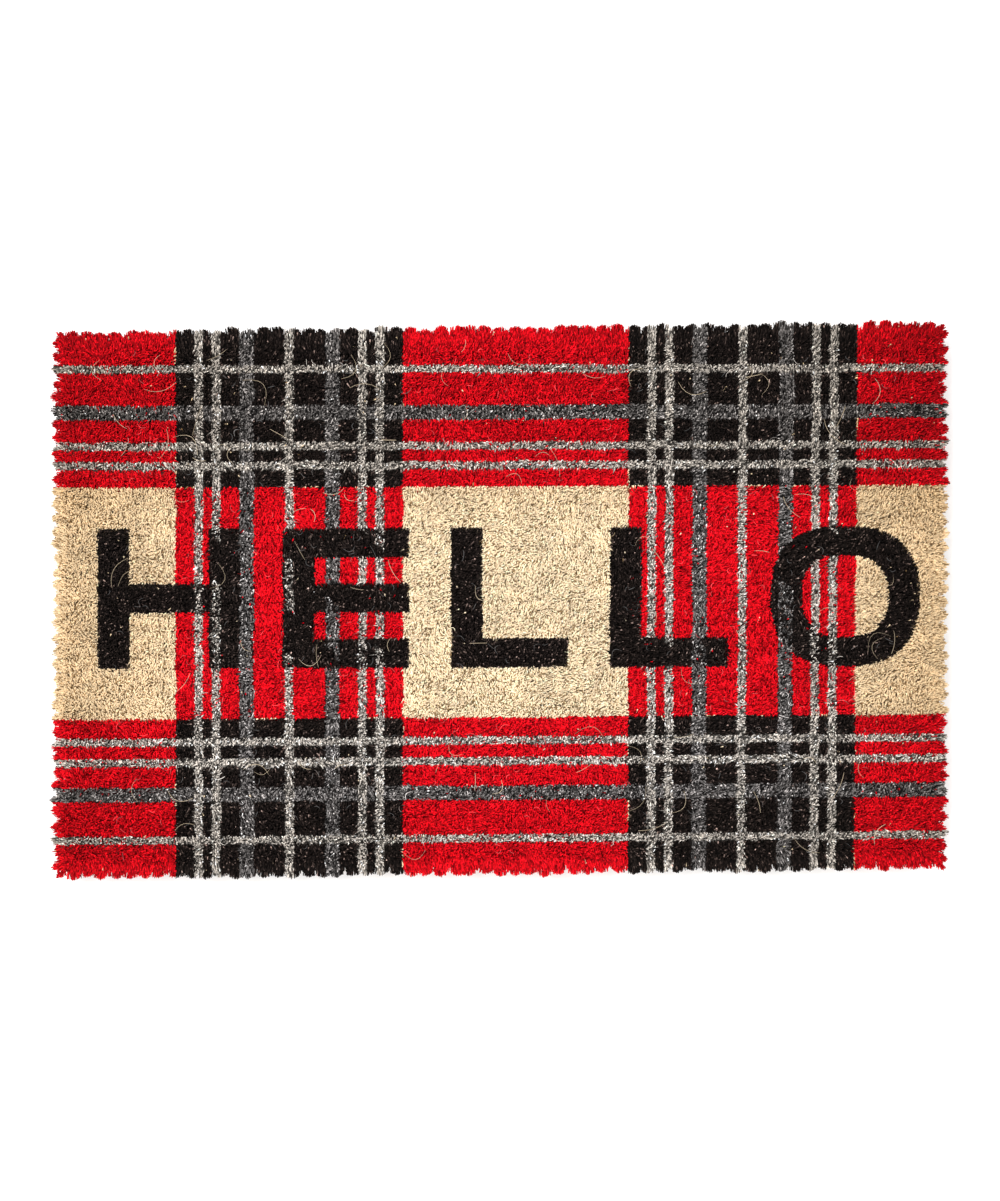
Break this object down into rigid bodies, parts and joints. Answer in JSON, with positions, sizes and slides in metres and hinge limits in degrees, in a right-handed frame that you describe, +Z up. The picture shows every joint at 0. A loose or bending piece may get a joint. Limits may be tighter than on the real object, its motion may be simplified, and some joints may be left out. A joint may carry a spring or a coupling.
{
  "type": "door mat",
  "caption": "Rectangular woven coir door mat: a deep printed bristle pile on doubled cords, with a braid stitched round its edge.",
  "frame": {"origin": "on the floor, under the middle of the mat", "axes": "+X along the mat, to the right as its lettering is read; +Y across it, to the top of the lettering; +Z up, out of the pile"},
  "size_m": [0.762, 0.468, 0.038],
  "materials": {
    "printed_pile_red": "matt, dyed red and black on natural coir bristle",
    "printed_pile_natural": "matt natural coir bristle, printed with black letters and grey stripes",
    "coir_yarn": "matt, hairy two-ply coir yarn",
    "braid_yarn": "matt, three-strand coir braid",
    "sewing_twine": "matt, two-ply jute twine"
  },
  "bodies": {
    "root": {"pile_row_01": "printed_pile_red", "pile_row_02": "printed_pile_red", "pile_row_03": "printed_pile_red", "pile_row_04": "printed_pile_red", "pile_row_05": "printed_pile_natural", "pile_row_06": "printed_pile_natural", "pile_row_07": "printed_pile_natural", "pile_row_08": "printed_pile_natural", "pile_row_09": "printed_pile_natural", "pile_row_10": "printed_pile_natural", "pile_row_11": "printed_pile_natural", "pile_row_12": "printed_pile_natural", "pile_row_13": "printed_pile_natural", "pile_row_14": "printed_pile_natural", "pile_row_15": "printed_pile_natural", "pile_row_16": "printed_pile_red", "pile_row_17": "printed_pile_red", "pile_row_18": "printed_pile_red", "pile_row_19": "printed_pile_red", "weft_cord_01": "coir_yarn", "weft_cord_02": "coir_yarn", "weft_cord_03": "coir_yarn", "weft_cord_04": "coir_yarn", "weft_cord_05": "coir_yarn", "weft_cord_06": "coir_yarn", "weft_cord_07": "coir_yarn", "weft_cord_08": "coir_yarn", "weft_cord_09": "coir_yarn", "weft_cord_10": "coir_yarn", "weft_cord_11": "coir_yarn", "weft_cord_12": "coir_yarn", "weft_cord_13": "coir_yarn", "weft_cord_14": "coir_yarn", "weft_cord_15": "coir_yarn", "weft_cord_16": "coir_yarn", "weft_cord_17": "coir_yarn", "weft_cord_18": "coir_yarn", "weft_cord_19": "coir_yarn", "warp_cord_01": "coir_yarn", "warp_cord_02": "coir_yarn", "warp_cord_03": "coir_yarn", "warp_cord_04": "coir_yarn", "warp_cord_05": "coir_yarn", "warp_cord_06": "coir_yarn", "warp_cord_07": "coir_yarn", "warp_cord_08": "coir_yarn", "warp_cord_09": "coir_yarn", "warp_cord_10": "coir_yarn", "warp_cord_11": "coir_yarn", "warp_cord_12": "coir_yarn", "edge_braid": "braid_yarn", "sewing_twine": "sewing_twine"}
  },
  "joints": []
}
